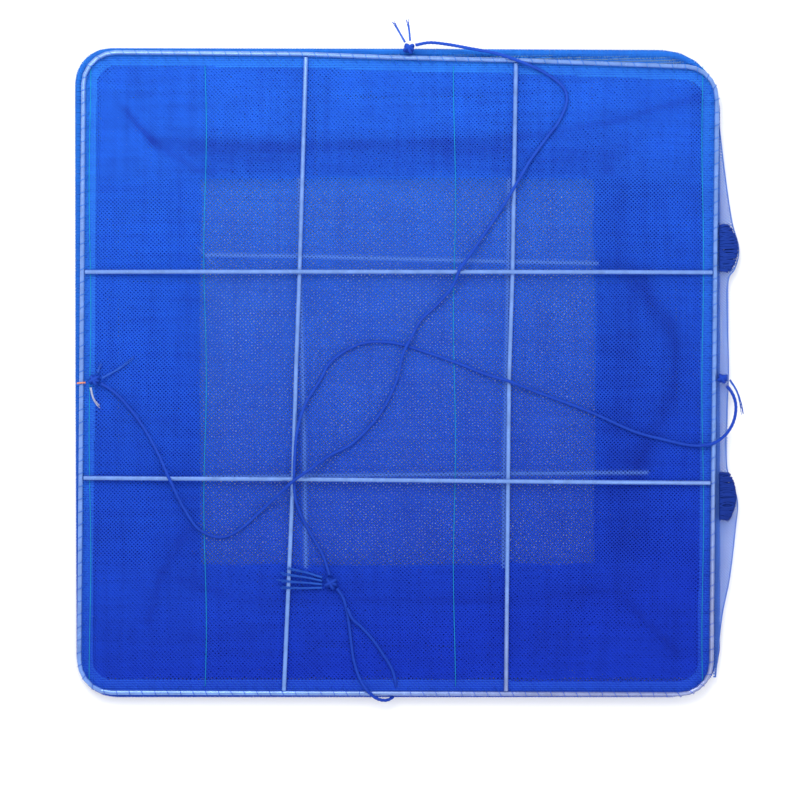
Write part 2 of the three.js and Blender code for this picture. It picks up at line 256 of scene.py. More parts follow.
def mesh_object(name, vertices, faces, material, shade=True):
    mesh = bpy.data.meshes.new(name)
    mesh.from_pydata([tuple(v) for v in vertices], [], faces)
    mesh.materials.append(material)
    if shade:
        mesh.polygons.foreach_set("use_smooth", [True] * len(mesh.polygons))
    mesh.update()
    thing = bpy.data.objects.new(name, mesh)
    bpy.context.scene.collection.objects.link(thing)
    return thing


def frames_along(line):
    """Two directions square to the line at each of its points, the first level."""
    tangent = np.gradient(line, axis=0)
    tangent /= np.linalg.norm(tangent, axis=1)[:, None]
    side = np.cross(np.array([0.0, 0.0, 1.0]), tangent)
    side /= np.maximum(np.linalg.norm(side, axis=1)[:, None], 1e-9)
    return side, np.cross(tangent, side)


def tube_parts(line, radius, sides=12, lobes=0, pitch=0.012, depth=0.0, taper=None):
    """Rings of a tube along a line; lobes wind round it as laid strands do."""
    side, up = frames_along(line)
    along_line = np.concatenate([[0], np.cumsum(np.linalg.norm(np.diff(line, axis=0), axis=1))])
    vertices = []
    for i, centre in enumerate(line):
        turn = 2 * math.pi * along_line[i] / pitch
        size = radius * (1 if taper is None else taper(along_line[i] / along_line[-1]))
        for k in range(sides):
            angle = 2 * math.pi * k / sides
            r = size
            if lobes:
                r *= 1 - depth * (0.5 - 0.5 * math.cos(lobes * (angle - turn)))
            vertices.append(centre + r * (math.cos(angle) * side[i] + math.sin(angle) * up[i]))
    faces = []
    for i in range(len(line) - 1):
        for k in range(sides):
            j = (k + 1) % sides
            a, b = i * sides, (i + 1) * sides
            faces.append((a + k, a + j, b + j, b + k))
    faces.append(tuple(range(sides))[::-1])
    faces.append(tuple(range((len(line) - 1) * sides, len(line) * sides)))
    return vertices, faces


def joined(parts):
    """Several (vertices, faces) as one."""
    vertices, faces = [], []
    for more, polygons in parts:
        start = len(vertices)
        vertices.extend(more)
        faces.extend(tuple(start + i for i in face) for face in polygons)
    return vertices, faces


def tube(name, line, radius, material, **shape):
    return mesh_object(name, *tube_parts(line, radius, **shape), material)


# ---- The bridle: cords, knots and tails -----------------------------------------------------
CORD_R = 0.0016
FAR_LEFT = [
    (16.4, 307.2, 17.4), (29, 309.6, 16.6), (45, 308.2, 16.8), (69, 303.6, 18.6),
    (91, 299.2, 20.2), (110, 293, 20.6), (139, 280.7, 16), (155.6, 267, 15.6),
    (158.4, 256, 15.5), (151.4, 237, 15.5), (139.7, 221, 15.5), (123.8, 199, 16.6),
    (114.4, 183, 20.2), (103, 164, 20.2), (93, 148, 16.4), (67.5, 110.6, 21),
    (58, 97, 25), (51, 81, 21), (35.6, 63, 15.8), (21.6, 49.6, 17), (12.2, 32.8, 19.4),
    (4.7, 17.8, 19.4), (-1, -6, 16), (-15.9, -36.6, 15.5), (-43, -66, 15.5),
    (-64.7, -77.8, 18), (-82, -90, 25.2), (-97, -100.4, 28.4), (-110, -112, 24.6),
    (-127, -128, 16.8), (-152, -149, 15.5), (-167, -154, 15.5), (-186, -147, 15.5),
    (-200.6, -126.6, 18), (-213.8, -98.4, 23.8), (-226, -73, 17.4), (-244, -43, 15.5),
    (-265, -18.8, 15.7), (-278.4, -9.6, 17.2),
]
RIGHT = [
    (308.2, -12, 17), (313, -18.5, 16.4), (316.3, -27, 15.8), (316.6, -37, 15.6),
    (313.6, -48, 16), (307, -57.6, 17.6), (297, -65, 20.2), (284, -68, 17.4),
    (271.5, -67.4, 15.6), (247.5, -62, 15.5), (223.6, -55.6, 15.5), (175.8, -34.7, 15.5),
    (128.4, -17.3, 16.4), (104.4, -8, 20.2), (81.6, -1, 16.4), (58, 8.4, 15.5),
    (26.3, 19.6, 15.5), (4.7, 26.3, 15.5), (-10.8, 29, 15.5), (-32.3, 28, 15.5),
    (-50.6, 20, 15.5), (-64.7, 8.4, 15.5), (-73, -6.6, 15.5), (-84.4, -24.4, 17),
    (-90, -38, 20), (-94.6, -56, 20.4), (-96.4, -77, 21.2), (-97, -99, 24.4),
    (-96, -117, 21), (-91, -133, 16.6), (-82, -150.4, 15.5), (-70.6, -170.6, 15.6),
    (-64, -189.6, 17.6),
]
NEAR = [
    (-57.2, -201.8, 17.6), (-51.4, -211, 15.8), (-48, -223, 15.5), (-45.8, -236.5, 15.5),
    (-44, -252, 15.5), (-41.3, -270, 15.5), (-36, -286, 16.6), (-28.5, -297.5, 19.9),
    (-20, -304.6, 19.4), (-11, -306.8, 15.8), (-4.4, -303.6, 12.2), (-2.2, -297, 11.9),
    (-2.6, -288.6, 15.8), (-6, -277, 15.5), (-14.6, -263, 15.5), (-24, -249.6, 15.5),
    (-34, -238.4, 16.8), (-43, -229.6, 19.2), (-47.4, -219.8, 19.1),
]
TAILS = {
    "far_tail_a": [(6.6, 310, 17), (1, 320, 16), (-5.9, 332.6, 13.6)],
    "far_tail_b": [(11.4, 311.4, 17), (10.4, 322, 16.2), (8.2, 333.4, 14)],
    "left_tail_a": [(-288, -13.6, 17.4), (-285.6, -24, 15.2), (-278.4, -33.8, 15)],
    "left_tail_b": [(-281.4, 0.2, 17.6), (-280, 5, 16), (-277.5, 9.6, 15)],
    "left_tail_c": [(-277.2, -4.8, 18), (-262, 4, 15.4), (-245.6, 16, 15)],
    "right_tail": [(311, -6.4, 17), (317.6, -17, 16.6), (321.4, -29, 15.4), (323.4, -40, 13.6)],
    "main_tail_a": [
        (-71, -191.6, 17), (-86, -187, 16.8), (-102, -183, 19.6), (-108.5, -179.6, 18.6)],
    "main_tail_b": [
        (-71, -194.8, 17), (-86, -191.6, 16.8), (-102, -189, 19.6), (-113, -187, 18)],
    "main_tail_c": [
        (-71, -198, 17), (-86, -196.6, 16.8), (-102, -195.2, 19.6), (-116.5, -194, 17.4)],
    "main_tail_d": [
        (-71, -201.2, 17), (-86, -201.6, 16.8), (-102, -201.2, 19.6), (-112, -200.6, 18.4)],
}
TWINE_TIE = [(-300.6, -9.6, 15.6), (-299, -9.4, 18.6), (-296, -9.2, 19.6), (-292.8, -9, 18)]
KNOTS = {  # centre and half-sizes
    "knot_far": ((10.3, 304.2, 17), (6, 5.5, 5)),
    "knot_left": ((-284.5, -6.6, 18.2), (6, 5.5, 4.8)),
    "knot_right": ((304.2, -5.2, 17), (5.4, 6, 5)),
    "knot_main": ((-62.8, -196.9, 18.4), (7, 6.2, 5)),
}


def laid_cord(name, points):
    """A three-strand laid cord along the points, with its centre line."""
    line = smooth([row(p) for p in points], 0.001)
    thing = tube(f"{name}_laid", line, CORD_R, CORD, sides=12, lobes=3, pitch=0.011, depth=0.2)
    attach(thing, "top_frame")
    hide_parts(name)
    return thing, line


def tied_knot(name, at, half):
    """Three turns of cord drawn tight round a core, inside the knot's own room."""
    turns = []
    centre = np.array(row(at))
    turn_r = 0.0015
    size = np.array(half) / 1000 - turn_r
    for tilt, squeeze in ((0.5, 1.0), (2.1, 0.92), (-0.45, 0.8)):
        angles = np.linspace(0, 2 * math.pi, 41)
        ring = np.column_stack([
            np.cos(angles) * size[0] * squeeze,
            np.sin(angles) * 0.28 * size[1] + 0.12 * size[1] * np.cos(2 * angles),
            np.sin(angles) * size[2] * squeeze,
        ])
        turn = np.array([
            [math.cos(tilt), -math.sin(tilt), 0],
            [math.sin(tilt), math.cos(tilt), 0],
            [0, 0, 1],
        ])
        turns.append(tube_parts(centre + ring @ turn.T, turn_r, sides=8))
    around, down = 16, 8
    u, v = np.meshgrid(np.linspace(0, 2 * math.pi, around + 1)[:-1],
                       np.linspace(0.15, math.pi - 0.15, down + 1))
    core = np.column_stack([
        (np.cos(u) * np.sin(v)).ravel(), (np.sin(u) * np.sin(v)).ravel(), np.cos(v).ravel(),
    ]) * size * 0.86 + centre
    faces = []
    for r in range(down):
        for c in range(around):
            d = (c + 1) % around
            faces.append((r * around + c, (r + 1) * around + c,
                          (r + 1) * around + d, r * around + d))
    faces.append(tuple(range(around)))
    faces.append(tuple(range(down * around, (down + 1) * around))[::-1])
    thing = mesh_object(f"{name}_tied", *joined([*turns, (list(core), faces)]), CORD)
    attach(thing, "top_frame")
    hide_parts(name)
    return thing


def frayed_tail(name, points, material, loose):
    """A cord's loose end: its strands part and splay over the last two thirds."""
    line = smooth([row(p) for p in points], 0.0012)
    rng = np.random.default_rng(sum(ord(c) for c in name))
    side, up = frames_along(line)
    share = np.linspace(0, 1, len(line))
    parts = []
    strands, strand_r = 5, 0.00052
    for k in range(strands):
        angle = 2 * math.pi * (k + rng.uniform(-0.2, 0.2)) / strands
        open_out = 0.0005 + loose * np.clip(share - 0.35, 0, 1) ** 1.4
        turn = angle + 2 * math.pi * share * 1.2
        strand = line + (np.cos(turn) * open_out)[:, None] * side
        strand = strand + (np.sin(turn) * open_out * 0.5)[:, None] * up
        last = int(len(line) * rng.uniform(0.82, 1.0))
        parts.append(tube_parts(strand[:last], strand_r, sides=6, taper=lambda s: 1 - 0.45 * s))
    thing = mesh_object(f"{name}_strands", *joined(parts), material)
    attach(thing, "top_frame")
    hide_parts(name)
    return thing


knots = {name: tied_knot(name, at, half) for name, (at, half) in KNOTS.items()}
tails = {
    name: frayed_tail(name, points, PALE if name == "left_tail_a" else TAIL, 0.0016)
    for name, points in TAILS.items()
}
far_left, far_left_line = laid_cord("bridle_far_left", FAR_LEFT)
right, right_line = laid_cord("bridle_right", RIGHT)
near, near_line = laid_cord("bridle_near", NEAR)
tie = tube("twine_tie_strand", smooth([row(p) for p in TWINE_TIE], 0.0008), 0.0009, ORANGE,
           sides=8, lobes=2, pitch=0.005, depth=0.3)
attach(tie, "top_frame")
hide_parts("twine_tie")

# ---- The wire frames keep their own meshes -----------------------------------------------
for level, material in (("top", WIRE_TOP), ("low", WIRE_LOW)):
    for part in ("rim", "bar_a", "bar_b", "bar_c", "bar_d"):
        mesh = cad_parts[f"{level}_{part}"].data
        mesh.materials.clear()
        mesh.materials.append(material)

# ---- Netting -------------------------------------------------------------------------------
PITCH = 0.0025  # from strand to strand
STRAND = 0.00113  # a strand's width
OVER = 0.00016  # one family of strands lies this much above the middle, the other below
CREST, SKIRT = 0.00022, -0.0001  # a strand's top and its edges, from its own level
HELD = 0.012  # strands run true within this of their ends
Z_NETS = 0.0086  # the lowest layer of net
LAYER = 0.0009  # from one layer of net to the next
Z_TOP_NET = Z_NETS + 5 * LAYER
ROUND_A_LINE = (-7, -4.4, -2.6, -1.3, 0, 1.3, 2.6, 4.4, 7)  # millimetres


def waves(points, seed, count, low, high, size, squash=(1.0, 1.0)):
    """A smooth wandering of the plane, from a few long waves of chance direction."""
    rng = np.random.default_rng(seed)
    out = np.zeros_like(points)
    for _ in range(count):
        angle = rng.uniform(0, 2 * math.pi)
        length = rng.uniform(low, high)
        heading = np.array([math.cos(angle) * squash[0], math.sin(angle) * squash[1]])
        phase = points @ (2 * math.pi / length * heading) + rng.uniform(0, 2 * math.pi)
        push = rng.normal(size=2)
        out += np.sin(phase)[:, None] * push * size * length / high / math.sqrt(count)
    return out


def creased(points, creases):
    """Draws strands together along each crease: (start, end, half width, strength)."""
    out = np.zeros_like(points)
    for start, end, width, strength in creases:
        a, b = np.array(start), np.array(end)
        run = np.linalg.norm(b - a)
        d = (b - a) / run
        n = np.array([-d[1], d[0]])
        t = np.clip((points - a) @ d / run, -0.2, 1.2)
        fade = np.clip(1 - np.abs(2 * t - 1) ** 4, 0, 1)
        s = (points - a) @ n
        out -= (strength * fade * s * np.exp(-((s / width) ** 2)))[:, None] * n
    return out


def runs_inside(loops, direction, normal, offset):
    """Where a straight line lies inside a set of loops, as pairs of distances along it."""
    found = []
    for outline in loops:
        nxt = np.roll(outline, -1, axis=0)
        a = outline @ normal - offset
        b = nxt @ normal - offset
        hit = (a < 0) != (b < 0)
        share = a[hit] / (a[hit] - b[hit])
        found.append((outline[hit] + (nxt[hit] - outline[hit]) * share[:, None]) @ direction)
    return np.sort(np.concatenate(found)).reshape(-1, 2)


def crossings(origin, d, t0, t1, lines):
    """Points along a strand round each line that it crosses, close enough to show it."""
    found = []
    for start, end in lines:
        a = np.array(start) - origin
        e = np.array(end) - np.array(start)
        det = e[0] * d[1] - d[0] * e[1]
        if abs(det) < 1e-9:
            continue
        t = (e[0] * a[1] - a[0] * e[1]) / det
        u = (d[0] * a[1] - d[1] * a[0]) / det
        if -0.02 <= u <= 1.02 and t0 < t < t1:
            found.extend(t + 0.001 * k for k in ROUND_A_LINE)
    return found


def netting(name, outline, z, seed, creases=(), pitch=PITCH, width=STRAND, turn=0.0, step=0.018,
            wander=0.0016, streak=0.0, lift=None, material=None, shade=None, wear_and_painted_light=None,
            hole=None, detail=()):
    """Crossed strands of one layer of net, cut to an outline in the row frame's X and Y.

    wander and streak are how far long and short waves push the strands aside. Points are
    added along the strands round each line of detail, so that painted shade and painted light
    show there.
    """
    loops = [np.array(outline, float)]
    if hole is not None:
        loops.append(np.array(hole, float))
    vertices, faces = [], []
    count = 0
    for family, angle in enumerate((math.radians(45) + turn, math.radians(135) + turn)):
        d = np.array([math.cos(angle), math.sin(angle)])
        n = np.array([-d[1], d[0]])
        offsets = loops[0] @ n
        first = math.ceil(offsets.min() / pitch)
        for k in range(first, int(offsets.max() / pitch) + 1):
            for t0, t1 in runs_inside(loops, d, n, k * pitch + 1e-6):
                if t1 - t0 < 0.001:
                    continue
                rings = max(1, math.ceil((t1 - t0) / step)) + 1
                t = np.linspace(t0, t1, rings)
                if len(detail):
                    extra = crossings(k * pitch * n, d, t0, t1, detail)
                    t = np.sort(np.concatenate([t, [v for v in extra if t0 < v < t1]]))
                    t = t[np.concatenate([[True], np.diff(t) > 0.0004])]
                    rings = len(t)
                xy = (k * pitch) * n + t[:, None] * d
                move = waves(xy, seed, 7, 0.035, 0.11, wander) + creased(xy, creases)
                if streak:
                    drift = waves(xy, seed + 90, 6, 0.010, 0.022, streak, (1.0, 0.07))
                    move[:, 0] += drift[:, 0]
                held = np.clip(np.minimum(t - t0, t1 - t) / HELD, 0, 1)[:, None]
                xy = xy + move * held
                height = np.full(rings, z + (OVER if family else -OVER))
                if lift is not None:
                    height = height + lift(xy)
                half = n * width / 2
                left = np.column_stack([xy - half, height + SKIRT])
                crest = np.column_stack([xy, height + CREST])
                right_edge = np.column_stack([xy + half, height + SKIRT])
                vertices.append(np.stack([left, crest, right_edge], axis=1).reshape(-1, 3))
                base = count + 3 * np.arange(rings - 1)
                for b in (base, base + 1):
                    faces.append(np.column_stack([b, b + 3, b + 4, b + 1]))
                count += 3 * rings
    points = np.vstack(vertices)
    thing = mesh_object(name, points, np.vstack(faces).tolist(), material or NET)
    # Per point: painted shade, which darkens the twine, and painted light, which makes it paler
    # over the bars below.
    for key, rule in (("shade", shade), ("wear_and_painted_light", wear_and_painted_light)):
        if rule is not None:
            attribute = thing.data.attributes.new(key, "FLOAT", "POINT")
            value = np.clip(rule(points[:, :2]), 0, 1).astype(np.float32)
            attribute.data.foreach_set("value", value)
    return thing


def place(thing, node, body, slot, outline, flat, held, rests_on):
    """Attaches a net to its body and hides the part it stands for."""
    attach(thing, body)
    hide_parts(node)


def rounded(points, inset):
    """A rim's outline moved inward, its corners kept round. Points are (x, y, radius) in mm."""
    steps = 5
    count = len(points)
    out = []
    for i, (x, y, radius) in enumerate(points):
        here = np.array([x, y], float)
        before = here - np.array(points[i - 1][:2])
        before /= np.linalg.norm(before)
        after = np.array(points[(i + 1) % count][:2]) - here
        after /= np.linalg.norm(after)
        in_before = np.array([-before[1], before[0]])
        in_after = np.array([-after[1], after[0]])
        mitre = (in_before + in_after) / (1 + in_before @ in_after)
        corner = here + mitre * inset
        if radius == 0:
            out.append(corner)
            continue
        r = radius - inset
        centre = corner + mitre * r
        start = math.atan2(-in_before[1], -in_before[0])
        sweep = math.acos(max(-1.0, min(1.0, before @ after)))
        for k in range(steps + 1):
            angle = start + sweep * k / steps
            out.append(centre + r * np.array([math.cos(angle), math.sin(angle)]))
    return [row((x, y, 0))[:2] for x, y in out]


# The rims' wires: (x, y, corner radius) in millimetres, anticlockwise from the near side.
LOW_RIM = [(0.5, -302, 0), (300, -302, 42), (300, 0, 0), (300, 301, 52),
           (0.5, 302.4, 0), (-301, 303, 30), (-300.6, 0, 0), (-299.4, -302, 34)]
TOP_RIM = [(0, -300.36, 0), (293.6, -301.3, 30), (296.4, 0, 0), (299.2, 286.2, 30),
           (110, 293, 0), (-7.5, 295.8, 0), (-92, 299, 0), (-294.6, 300.8, 30),
           (-296.6, 0, 0), (-299, -299.4, 30)]


def near_lines(xy, lines, width):
    """1 on any of the lines, falling to 0 at a few widths from them. Lines are (start, end)."""
    out = np.zeros(len(xy))
    for start, end in lines:
        a, b = np.array(start), np.array(end)
        run = np.linalg.norm(b - a)
        d = (b - a) / run
        t = np.clip((xy - a) @ d, 0, run)
        gap = np.linalg.norm(xy - a - t[:, None] * d, axis=1)
        out = np.maximum(out, np.exp(-((gap / width) ** 2)))
    return out


def sag(depth, seed):
    """A layer's gentle rise and fall, never below its own level."""
    def lift(xy):
        wave = waves(xy, seed, 5, 0.05, 0.16, 1.0)[:, 0]
        return depth * np.clip(0.5 + 0.35 * wave, 0, 1)
    return lift


def path_lines(points):
    """Row-frame segments through points given in millimetres."""
    flat = [row((x, y, 0))[:2] for x, y in points]
    return list(zip(flat, flat[1:]))


# The lower frame's bars as they show through, where painted light makes the net paler: (x, y) in
# millimetres, like the folds below.
BARS_BELOW = [
    [(-92.4, 182), (-92, 110), (-88, -60), (-86.5, -182)],
    [(104, 182), (103.5, 105), (99.5, -95), (99, -182)],
    [(-180, 110.8), (-92, 109.6), (103.5, 104.6), (187, 103)],
    [(-182, -97.8), (-88.5, -96.4), (99.5, -94.4), (234, -93.4)],
]
# Folds in the nets, along which painted shade darkens the twine; the mitres also draw the upper
# cover's strands together.
MITRES = [
    [(-256, 247), (-231, 217), (-180, 186)], [(280, 258), (194, 234), (110, 221)],
    [(-235, -233), (-222, -190), (-197, -147)], [(262, -262), (214, -214)],
]
RIGHT_FOLD = [
    (228, 84), (248, 52), (260, 31), (261, 6), (257, -17), (243, -50), (227, -80), (225, -95),
]
FAR_FOLD = [(-231, 217), (-100, 214), (20, 216), (110, 220)]
NEAR_FOLD = [(-222, -188), (-150, -213), (0, -214), (120, -212), (196, -206)]

mitre_lines = [line for points in MITRES for line in path_lines(points)]
mitre_pulls = [(a, b, 0.006, 0.5) for a, b in mitre_lines]  # half width, strength
right_fold, far_fold, near_fold = (path_lines(p) for p in (RIGHT_FOLD, FAR_FOLD, NEAR_FOLD))
bar_light_lines = [line for points in BARS_BELOW for line in path_lines(points)]
past_fold = bar_light_lines[-1:]  # the one that runs on over the right wall


def cover_shade(xy):
    """Painted shade on the upper cover, along the folds of the walls under it."""
    lines = 0
    for fold, strength, width in (
        (mitre_lines[:1], 0.55, 0.0036), (mitre_lines[1:], 0.34, 0.0055),
        (right_fold, 0.42, 0.010), (far_fold, 0.38, 0.006), (near_fold, 0.25, 0.005),
    ):
        lines = lines + strength * near_lines(xy, fold, width)
    x, y = xy[:, 0], xy[:, 1]
    # A soft band of painted shade along the walls' folded edges, strongest on the far side, and a
    # wider band of painted shade inside the right side.
    inside = np.maximum(np.abs(x + 0.01), np.abs(y - 0.003))
    band = np.exp(-(((inside - 0.199) / 0.013) ** 2)) * np.where(y > np.abs(x), 0.42, 0.12)
    right_band = np.exp(-(((x - 0.205) / 0.018) ** 2)) * (np.abs(y) < 0.17) * 0.25
    return lines + band + right_band


low_cut, top_cut = rounded(LOW_RIM, 3), rounded(TOP_RIM, 3)
low_net = netting("low_cover_net", low_cut, Z_NETS + 0.0002, 11,
                  turn=math.pi / 4 + 0.03, streak=0.0005, wander=0.0009, material=LOW_NET,
                  wear_and_painted_light=lambda xy: 0.8 * near_lines(xy, bar_light_lines, 0.0020),
                  detail=bar_light_lines)
place(low_net, "low_net", "low_frame", "net", low_cut, (0.597, 0.601), "stretched",
      ["low_rim"])
top_net = netting("top_cover_net", top_cut, Z_TOP_NET + 0.0002, 23,
                  creases=mitre_pulls, turn=-0.015, streak=0.0006, lift=sag(0.0003, 5),
                  wander=0.0012, shade=cover_shade,
                  wear_and_painted_light=lambda xy: 0.62 * near_lines(xy, bar_light_lines, 0.0017),
                  detail=mitre_lines + right_fold + far_fold + near_fold + bar_light_lines)
place(top_net, "top_net", "top_frame", "net", top_cut, (0.596, 0.600), "stretched",
      ["top_rim"])


# ---- Lacing round the rims -------------------------------------------------------------------
def lacing(name, rim, z_wire, z_net, every, reach, seed, cut=None, thick=0.00024):
    """Twine that winds over the rim's wire and down through the net beside it, a turn every
    so often. cut is a range of x, in millimetres, left free on the near side for the bridle."""
    loop = np.array(rounded(rim, 0))
    loop = np.vstack([loop, loop[:1]])
    line = evenly(np.column_stack([loop, np.zeros(len(loop))]), every)[:-1, :2]
    tangent = np.roll(line, -1, axis=0) - np.roll(line, 1, axis=0)
    tangent /= np.linalg.norm(tangent, axis=1)[:, None]
    inward = np.column_stack([-tangent[:, 1], tangent[:, 0]])
    rng = np.random.default_rng(seed)
    up = 1 if z_wire > z_net else -1
    parts = []
    for at, t, n in zip(line, tangent, inward):
        if cut and cut[0] < at[0] * 1000 + CENTRE[0] < cut[1] and at[1] < 0:
            continue
        far = reach * rng.uniform(0.75, 1.2)
        skew = rng.uniform(0.2, 0.5) * every
        section = [  # inward from the wire, height, along the wire
            (far, z_net, -skew),
            (0.0042, z_net + up * 0.0012, -0.6 * skew),
            (0.0027, z_wire + up * 0.0012, -0.3 * skew),
            (0.0, z_wire + up * 0.0027, 0),
            (-0.0026, z_wire + up * 0.0010, 0.2 * skew),
            (-0.0026, z_wire - up * 0.0012, 0.4 * skew),
            (-0.0002, z_net + up * 0.0003, 0.7 * skew),
            (far * 0.8, z_net, skew),
        ]
        path = np.array([[*(at + n * a + t * c), z] for a, z, c in section])
        parts.append(tube_parts(path, thick, sides=4))
    return mesh_object(name, *joined(parts), HEM)


Z_TOP_WIRE, Z_LOW_WIRE = 0.0159, 0.0063
top_lacing = lacing("top_lacing", TOP_RIM, Z_TOP_WIRE, Z_TOP_NET + 0.0003, 0.0120, 0.007, 3,
                    cut=(-14, 8))
low_lacing = lacing("low_lacing", LOW_RIM, Z_LOW_WIRE, Z_NETS + 0.0003, 0.0014, 0.006, 4,
                    thick=0.0007)
for thing, body in ((top_lacing, "top_frame"), (low_lacing, "low_frame")):
    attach(thing, body)
for name, rim, z, node, body in (
    ("top_edge_band", TOP_RIM, Z_TOP_NET + 0.0003, "top_hem", "top_frame"),
    ("low_edge_band", LOW_RIM, Z_NETS + 0.0001, "low_hem", "low_frame"),
):
    band = netting(name, rounded(rim, -1.2), z, 31, pitch=0.0022, width=0.0015, turn=math.pi / 4,
                   step=0.012, wander=0.0004, material=HEM, hole=rounded(rim, 12))
    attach(band, body)
    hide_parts(node)

# ---- Walls and flaps ------------------------------------------------------------------------
WALL_HALF, MOUTH_DEPTH, MOUTH_HALF_W = 108, 30, 90
WALL_EDGE = 107.3  # the two halves of a lifted wall meet here, edge to edge
FLAP_L, FLAP_TIP_HALF_W = 76, 86
# Name, quarter turns, middle of the hinge line, half length, mouth's offset along it, and
# the layers of the lower and upper halves.
SIDES = (
    ("near", 0, (-2, -287), 281, 0, 2, 4), ("right", 1, (292, -6), 276, 3, 1, 3),
    ("far", 2, (-2, 290), 277, -13, 2, 4), ("left", 3, (-293, 0), 284, 3, 1, 3),
)
WALL_PITCH = 0.0024
WALL_STRAND = 0.0013
CREASES = 9  # in each wall half
# Painted shade: each wall darkens towards its folded edge, from this far in from the hinge and by
# this much.
FOLD_SHADE = {  # where a wall begins to darken towards its folded edge, and by how much
    "near": (0.085, 0.15), "right": (0.050, 0.35), "far": (0.080, 0.30), "left": (0.085, 0.15),
}


def turned(points, at, turn):
    """Points given as (along the hinge line, inward from it), in the row frame."""
    c, s = ((1, 0), (0, 1), (-1, 0), (0, -1))[turn]
    return [row((at[0] + c * x - s * y, at[1] + s * x + c * y, 0))[:2] for x, y in points]


def eased(share):
    """Where along a blend its weight reaches a given share."""
    return 0.5 - math.sin(math.asin(1 - 2 * share) / 3)


def ladder(rungs):
    """Faces between successive pairs of points."""
    return [(2 * m, 2 * m + 1, 2 * m + 3, 2 * m + 2) for m in range(rungs)]


def gusset(name, at, turn, mouth, across, z):
    """Net between the side of a mouth and the side of its flap, laid flat."""
    rows, rays = 19, 10
    outer, inner = MOUTH_HALF_W, MOUTH_HALF_W - 4.0
    parts = []

    def point(share, depth):
        x = mouth + across * (outer + (inner - outer) * eased(share))
        return turned([(x, MOUTH_DEPTH + depth)], at, turn)[0]

    for k in range(rays + 1):
        share = min(max(k / rays, 0.01), 0.99)
        ends = [point(share + w, d) for w in (-0.008, 0.008) for d in (2.0, FLAP_L)]
        parts.append(([(*ends[i], z) for i in (0, 2, 3, 1)], [(0, 1, 2, 3)]))
    for k in range(rows):
        depth = 4 + (FLAP_L - 5) * k / (rows - 1)
        strip = []
        for m in range(rays + 1):
            share = min(max(m / rays, 0.001), 0.999)
            for offset in (-0.5, 0.5):
                strip.append((*point(share, depth + offset), z + 0.0001))
        parts.append((strip, ladder(rays)))
    thing = mesh_object(name, *joined(parts), WALL_NET, shade=False)
    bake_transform(thing)


def corner_net(name, path):
    """Net of a corner, bunched between the rims."""
    low, high = 0.0092, 0.0132  # its lower and upper edges when folded
    lift = 0.216  # its height when drawn out
    step, mesh, half = 0.0015, 0.0034, 0.0005  # along the path, between strands, half a strand
    line = evenly(np.array([(*row((x, y, 0))[:2], 0.0) for x, y in path]), step)[:, :2]
    width = step * (len(line) - 1)

    def at(along_path, height):
        s = along_path / width * (len(line) - 1)
        i = min(int(s), len(line) - 2)
        xy = line[i] + (line[i + 1] - line[i]) * (s - i)
        t = eased(min(max(height / lift, 0.0), 1.0))
        return (*xy, low + (high - low) * t)

    parts = []
    for slope in (1, -1):
        count = int((lift + width) / mesh)
        for k in range(count + 1):
            base = k * mesh - (width if slope > 0 else 0)
            strip = []
            for m in range(9):
                s = width * m / 8
                h = base + slope * s
                if -0.001 <= h <= lift + 0.001:
                    strip.append(at(min(max(s - half, 0), width), h))
                    strip.append(at(min(s + half, width), h))
            rungs = len(strip) // 2 - 1
            if rungs > 0:
                parts.append((strip, ladder(rungs)))
    for s in (half, width - half):
        strip = []
        for m in range(25):
            h = lift * m / 24
            strip.append(at(s - half, h))
            strip.append(at(s + half, h))
        parts.append((strip, ladder(24)))
    thing = mesh_object(name, *joined(parts), WALL_NET, shade=False)
    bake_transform(thing)


for name, path in (
    ("near_left_corner_net",
     [(-283.6, -288.4), (-288, -290.5), (-292.5, -288.6), (-294.8, -284.6)]),
    ("near_right_corner_net", [(279.6, -288.4), (285, -289.3), (290, -286.8), (293.6, -282.8)]),
    ("far_right_corner_net", [(274.5, 291.2), (283, 284.8), (289.5, 277), (293, 269.5)]),
    ("far_left_corner_net", [(-279.6, 291.5), (-286, 292), (-292, 289.5), (-294.6, 284.6)]),
):
    corner_net(name, path)

